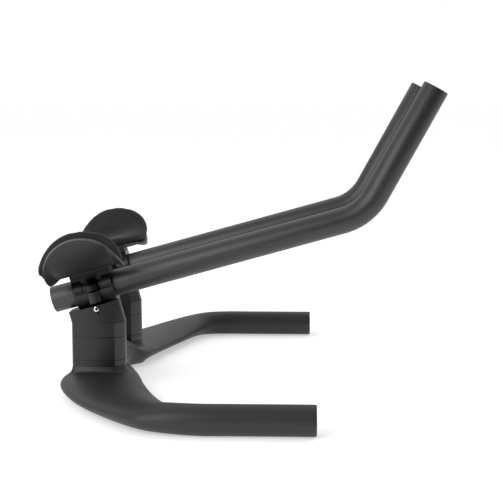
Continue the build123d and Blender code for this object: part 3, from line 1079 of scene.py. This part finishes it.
@dataclass
class ArmrestCup:
    """One moulded armrest cup with the foot that seats it on its clamp, in millimetres."""

    at: ClampFrame
    foot_half_length: float = 16.0
    foot_inner: float = -4.0
    foot_outer: float = 14.0
    foot_bottom: float = 15.55
    shell_middle: float = 44.7
    bolt_x: float = 10.0
    bolt_out: float = 5.0
    bolt_hole: float = 2.7
    head_hole: float = 4.7
    head_seat: float = 17.15
    chamfer: float = 0.8
    rim_facing: float = 0.8

    def shell(self) -> Trough:
        """The thin plate that holds the pad."""
        return Trough(
            self.at,
            radius=46.0,
            wall=2.6,
            rim=32.0,
            rear=-31.0,
            front=34.0,
            inner_reach=17.0,
            chamfer=self.chamfer,
        )

    def foot(self) -> bpy.types.Object:
        """The block under the shell, with its top bent to the middle of the shell's wall."""
        plate = self.shell()
        mesh = bmesh.new()
        verts = bmesh.ops.create_cube(mesh, size=1.0)["verts"]
        middle = self.at.side.value * (self.foot_inner + self.foot_outer) / 2
        size = (2 * self.foot_half_length, self.foot_outer - self.foot_inner, 1.0)
        bmesh.ops.scale(mesh, vec=size, verts=verts)
        bmesh.ops.translate(mesh, vec=(0, middle, self.foot_bottom + 0.5), verts=verts)
        across = [edge for edge in mesh.edges if abs(edge.verts[0].co.y - edge.verts[1].co.y) > 1]
        bmesh.ops.subdivide_edges(mesh, edges=across, cuts=7, use_grid_fill=True)
        for vert in mesh.verts:
            if vert.co.z > self.foot_bottom + 0.5:
                off = abs(vert.co.y) * (1 if vert.co.y * self.at.side.value > 0 else -1) - plate.axis_offset
                vert.co.z = plate.axis_height - sqrt(self.shell_middle**2 - off**2)
        bmesh.ops.transform(mesh, matrix=self.at.matrix(), verts=mesh.verts)
        bmesh.ops.recalc_face_normals(mesh, faces=mesh.faces)
        return add_piece(mesh, "cup_foot")

    def holes(self) -> bpy.types.Object:
        """The two stepped holes for the bolts, as solids to cut away."""
        mesh = bmesh.new()
        for x in (-self.bolt_x, self.bolt_x):
            place = Matrix.Translation((x, self.at.side.value * self.bolt_out, self.foot_bottom - 5))
            rise = self.head_seat - self.foot_bottom + 5
            steps = ((0.0, self.bolt_hole), (rise, self.bolt_hole), (rise, self.head_hole), (rise + 12, self.head_hole))
            rings = [place @ Matrix.Translation((0, 0, z)) @ Matrix.Diagonal((r, r, 1, 1)) for z, r in steps]
            skin = Skin(mesh, round_ring(mesh, rings[0], 40), rings[0])
            for ring in rings[1:]:
                skin.carry(ring)
            skin.cap()
        bmesh.ops.transform(mesh, matrix=self.at.matrix(), verts=mesh.verts)
        bmesh.ops.recalc_face_normals(mesh, faces=mesh.faces)
        return add_piece(mesh, "cup_holes")

    def on_rim(self, face: bmesh.types.BMFace) -> bool:
        """Whether a face of the finished mesh is part of the shell's rim, which takes the painted highlight.

        Args:
            face: a face, in metres.

        Returns:
            True on the rim.
        """
        plate, local = self.shell(), self.at.matrix().inverted()
        s, y, n = local @ (face.calc_center_median() / MM)
        out = y * self.at.side.value
        away = Vector((0, self.at.side.value * (out - plate.axis_offset), n - plate.axis_height))
        over_foot = abs(s) < self.foot_half_length and self.foot_inner + 0.5 < out < self.foot_outer - 0.5
        outside = away.length > plate.radius + plate.swell(s)
        across = abs((local.to_3x3() @ face.normal).dot(away.normalized()))
        return across < self.rim_facing and not over_foot and not outside

    def build(self) -> bpy.types.Object:
        """Build the cup.

        Returns:
            The cup, with its rim faces marked for a second material, a painted highlight.
        """
        cup = add_piece(self.shell().draw(), f"{self.at.side.label}_armrest_cup_shell")
        tools = ((self.foot(), "UNION"), (self.holes(), "DIFFERENCE"))
        for tool, operation in tools:
            cut = cup.modifiers.new(operation.lower(), "BOOLEAN")
            cut.operation = operation
            cut.solver = "EXACT"
            cut.object = tool
        bake(cup)
        for tool, _ in tools:
            bpy.data.objects.remove(tool)
        mesh = bmesh.new()
        mesh.from_mesh(cup.data)
        shade_soft(mesh, 24.0)
        for face in mesh.faces:
            face.material_index = int(self.on_rim(face))
        mesh.to_mesh(cup.data)
        mesh.free()
        return cup


@dataclass
class ArmPad:
    """The foam pad of one armrest cup, in millimetres."""

    at: ClampFrame
    voxel: float = 1.7
    proud: float = 0.5
    swell_limit: float = 2.2
    seat_depth: float = 1.2
    seat_facing: float = 0.55
    pressure: float = 4.0
    frames: int = 20

    def foam(self) -> FoamPlate:
        """The plate of foam, thinner towards its edges."""
        return FoamPlate(
            self.at,
            radius=43.1,
            wall=8.0,
            rim=36.4,
            rear=-33.6,
            front=35.6,
            inner_reach=20.0,
            edge_share=0.62,
        )

    def radial(self, point: Vector) -> Vector:
        """The vector from the trough's axis out to a point.

        Args:
            point: a point in metres.

        Returns:
            The vector, in metres, square to the axis.
        """
        foam, local = self.foam(), self.at.matrix()
        start = local @ Vector((0, self.at.side.value * foam.axis_offset, foam.axis_height)) * MM
        along = (local.to_3x3() @ Vector((1, 0, 0))).normalized()
        away = point - start
        return away - along * away.dot(along)

    def inside_wall(self, point: Vector) -> Vector:
        """Bring a point of the pad back to the inner face of the cup where it lies beyond it.

        Args:
            point: a point in metres.

        Returns:
            The point, moved towards the trough's axis if it has to be.
        """
        foam = self.foam()
        away = self.radial(point)
        s = (self.at.matrix().inverted() @ (point / MM)).x
        reach = (foam.radius + foam.swell(min(max(s, foam.rear), foam.front))) * MM
        return point - away.normalized() * max(away.length - reach, 0.0)

    def seat(self, pad: bpy.types.Object) -> list[int]:
        """The vertices of the pad's underside, which the cup holds still.

        Args:
            pad: the pad's object.

        Returns:
            Their numbers.
        """
        held = []
        for vert in pad.data.vertices:
            away = self.radial(vert.co)
            deep = away.length > (self.foam().radius - self.seat_depth) * MM
            if deep and vert.normal.dot(away.normalized()) > self.seat_facing:
                held.append(vert.index)
        return held

    def build(self) -> bpy.types.Object:
        """Build the pad: a plate of foam, blown up softly from its seat in the cup.

        Returns:
            The pad.
        """
        pad = add_piece(self.foam().draw(), f"{self.at.side.label}_arm_pad_foam")
        even = pad.modifiers.new("even", "REMESH")
        even.mode = "VOXEL"
        even.voxel_size = self.voxel * MM
        even.use_smooth_shade = True
        ease = pad.modifiers.new("ease", "SMOOTH")
        ease.iterations = 5
        bake(pad)
        held = self.seat(pad)
        pad.vertex_groups.new(name="seat").add(held, 1.0, "REPLACE")
        loose = set(range(len(pad.data.vertices))) - set(held)
        start = {k: pad.data.vertices[k].co + pad.data.vertices[k].normal * self.proud * MM for k in loose}
        for k, place in start.items():
            pad.data.vertices[k].co = place
        self.blow(pad, start)
        round_off = pad.modifiers.new("round_off", "SMOOTH")
        round_off.iterations = 6
        bake(pad)
        for vert in pad.data.vertices:
            vert.co = self.inside_wall(vert.co)
        finer = pad.modifiers.new("finer", "SUBSURF")
        finer.levels = 1
        finer.render_levels = 1
        return pad

    def blow(self, pad: bpy.types.Object, start: dict[int, Vector]) -> None:
        """Swell the loose part of the pad with air pressure, and cap how far it goes.

        Args:
            pad: the pad, with its seat in the vertex group.
            start: where each loose vertex starts.
        """
        cloth = pad.modifiers.new("cloth", "CLOTH")
        settings = cloth.settings
        settings.quality = 6
        settings.mass = 0.3
        settings.tension_stiffness = 12
        settings.compression_stiffness = 12
        settings.shear_stiffness = 8
        settings.bending_stiffness = 1.5
        settings.vertex_group_mass = "seat"
        settings.use_pressure = True
        settings.uniform_pressure_force = self.pressure
        settings.effector_weights.gravity = 0.0
        cloth.collision_settings.use_collision = False
        cloth.point_cache.frame_start = 1
        cloth.point_cache.frame_end = self.frames
        scene = bpy.context.scene
        for step in range(1, self.frames + 1):
            scene.frame_set(step)
        graph = bpy.context.evaluated_depsgraph_get()
        blown = [vert.co.copy() for vert in pad.evaluated_get(graph).data.vertices]
        pad.modifiers.clear()
        scene.frame_set(1)
        for k, place in start.items():
            move = blown[k] - place
            move.length = min(move.length, self.swell_limit * MM) if move.length > 0 else 0
            pad.data.vertices[k].co = place + move


@dataclass
class Studio:
    """Camera, floor and light, in metres and degrees."""

    place: tuple[float, float, float] = (0.16291, -1.10627, 0.23638)
    pitch: float = 7.10
    yaw: float = 1.89
    lens: float = 89.62
    floor_height: float = -0.01595
    floor_half: float = 12.0
    floor_front: float = -0.6
    floor_glow: float = 0.45
    backdrop: float = 0.75
    camera_side: float = 0.02
    overhead: float = 1.0
    overhead_spread: float = 120.0
    # Softboxes: name, bearing from the camera's side towards the right, height angle, distance, width,
    # height and brightness
    softboxes: tuple[tuple[str, float, float, float, float, float, float], ...] = (
        ("left_softbox", -38.0, 26.0, 1.6, 1.3, 1.2, 3.3),
        ("right_softbox", 100.0, 24.0, 1.6, 0.7, 1.0, 0.4),
    )

    def build(self) -> None:
        """Build the camera, the floor and the lights."""
        data = bpy.data.cameras.new("camera")
        data.lens = self.lens
        data.sensor_width = 36.0
        data.clip_end = 60.0
        camera = bpy.data.objects.new("camera", data)
        camera.location = self.place
        camera.rotation_euler = (radians(90 - self.pitch), 0, radians(self.yaw))
        bpy.context.scene.collection.objects.link(camera)
        bpy.context.scene.camera = camera
        self.floor()
        self.lights()

    def floor(self) -> None:
        """Lay a plain pale floor that ends a little in front of the part."""
        mesh = bmesh.new()
        bmesh.ops.create_grid(mesh, x_segments=1, y_segments=1, size=self.floor_half)
        bmesh.ops.translate(mesh, vec=(0, self.floor_half + self.floor_front, self.floor_height), verts=mesh.verts)
        floor = add_piece(mesh, "floor", 1.0)
        material = bpy.data.materials.new("pale_floor")
        material.use_nodes = True
        shader = material.node_tree.nodes["Principled BSDF"]
        shader.inputs["Base Color"].default_value = to_linear("f2f2f2")
        shader.inputs["Roughness"].default_value = 0.9
        shader.inputs["Specular IOR Level"].default_value = 0.0
        shader.inputs["Emission Color"].default_value = (1, 1, 1, 1)
        shader.inputs["Emission Strength"].default_value = self.floor_glow
        floor.data.materials.append(material)

    def surround(self) -> None:
        """Set a white backdrop that lights the part from behind, with a dark room on the camera's side."""
        world = bpy.data.worlds.new("surround")
        world.use_nodes = True
        tree = world.node_tree
        tree.nodes.clear()
        way = add_node(tree, "ShaderNodeTexCoord").outputs["Generated"]
        split = add_node(tree, "ShaderNodeSeparateXYZ", {}, {"Vector": way})
        glow = add_node(
            tree,
            "ShaderNodeMapRange",
            {
                "interpolation_type": "SMOOTHSTEP",
                "From Min": -0.35,
                "From Max": 0.75,
                "To Min": self.camera_side,
                "To Max": self.backdrop,
            },
            {"Value": split.outputs["Y"]},
        ).outputs["Result"]
        room = add_node(tree, "ShaderNodeBackground", {}, {"Strength": glow}).outputs["Background"]
        seen = add_node(tree, "ShaderNodeBackground").outputs["Background"]
        path = add_node(tree, "ShaderNodeLightPath").outputs["Is Camera Ray"]
        mixed = add_node(tree, "ShaderNodeMixShader", {}, {0: path, 1: room, 2: seen}).outputs["Shader"]
        for node in tree.nodes:
            if node.bl_idname == "ShaderNodeBackground":
                node.inputs["Color"].default_value = (1, 1, 1, 1)
        add_node(tree, "ShaderNodeOutputWorld", {}, {"Surface": mixed})
        bpy.context.scene.world = world

    def lights(self) -> None:
        """Hang a broad overhead light and a softbox at each side."""
        scene = bpy.context.scene
        scene.view_settings.view_transform = "Standard"
        self.surround()
        sun = bpy.data.lights.new("overhead_light", "SUN")
        sun.energy = self.overhead
        sun.angle = radians(self.overhead_spread)
        scene.collection.objects.link(bpy.data.objects.new("overhead_light", sun))
        for name, bearing, lift, distance, width, height, brightness in self.softboxes:
            data = bpy.data.lights.new(name, "AREA")
            data.shape = "RECTANGLE"
            data.size = width
            data.size_y = height
            data.energy = brightness * pi * width * height
            light = bpy.data.objects.new(name, data)
            turn, rise = radians(bearing), radians(lift)
            way = Vector((sin(turn) * cos(rise), -cos(turn) * cos(rise), sin(rise)))
            light.location = way * distance
            light.rotation_euler = way.to_track_quat("Z", "Y").to_euler()
            scene.collection.objects.link(light)


class Handlebar:
    """The whole handlebar: builds every piece, dresses it and ties it to its body."""

    def __init__(self) -> None:
        self.finishes = Finishes()
        self.plan = TowerPlan()

    def keep(self, piece: bpy.types.Object, node: str, finish: Finish, body: str = "bar") -> None:
        """Dress a piece, tie it to its body and let it stand for its node.

        Args:
            piece: the new piece.
            node: the CAD node that it stands for.
            finish: its finish.
            body: the body that it rides on.
        """
        self.finishes.dress(piece, finish)
        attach(piece, body)
        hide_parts(node)
        LOG.info("%s stands for %s", piece.name, node)

    def build_side(self, side: Side) -> None:
        """Build everything that one side carries.

        Args:
            side: which side.
        """
        label, at = side.label, ClampFrame(side)
        for spacer, node in Tower(side).build(self.plan):
            self.keep(spacer, node, MOULDED_NYLON)
        self.keep(Extension(at).build(), f"{label}_extension", ANODISED_TUBE, f"{label}_extension")
        for screws, node, finish in ClampScrews(at).build():
            self.keep(screws, node, finish)
        # The cap's finish carries painted shade from the cup above it
        for name, ease, finish in (("clamp_base", 0.35, ANODISED_WEDGE), ("clamp_cap", 0.4, ANODISED_CLAMP_PAINTED_SHADE)):
            node = f"{label}_{name}"
            self.keep(eased_copy(node, ease), node, finish)
        cup = ArmrestCup(at).build()
        self.keep(cup, f"{label}_armrest_cup", MOULDED_SHELL)
        # The rim faces take the painted rim highlight as their second material
        self.finishes.dress(cup, MOULDED_SHELL, RIM_PAINTED_HIGHLIGHT)
        pad = ArmPad(at).build()
        self.keep(pad, f"{label}_arm_pad", COVERED_FOAM)
        for name, finish in (("tower_inserts", PLATED_STEEL), ("tower_bolts", BLACK_STEEL_PAINTED_SHADE)):
            self.finishes.dress(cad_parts[f"{label}_{name}"], finish)

    def build(self) -> None:
        """Build the bar and both sides."""
        self.keep(BaseBar().build(self.plan), "base_bar", MOULDED_CARBON)
        for side in Side:
            self.build_side(side)


def main() -> None:
    """Build the scene."""
    logging.basicConfig(level=logging.INFO, format="%(message)s")
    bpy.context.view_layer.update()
    Studio().build()
    Handlebar().build()


if __name__ == "__main__":
    main()
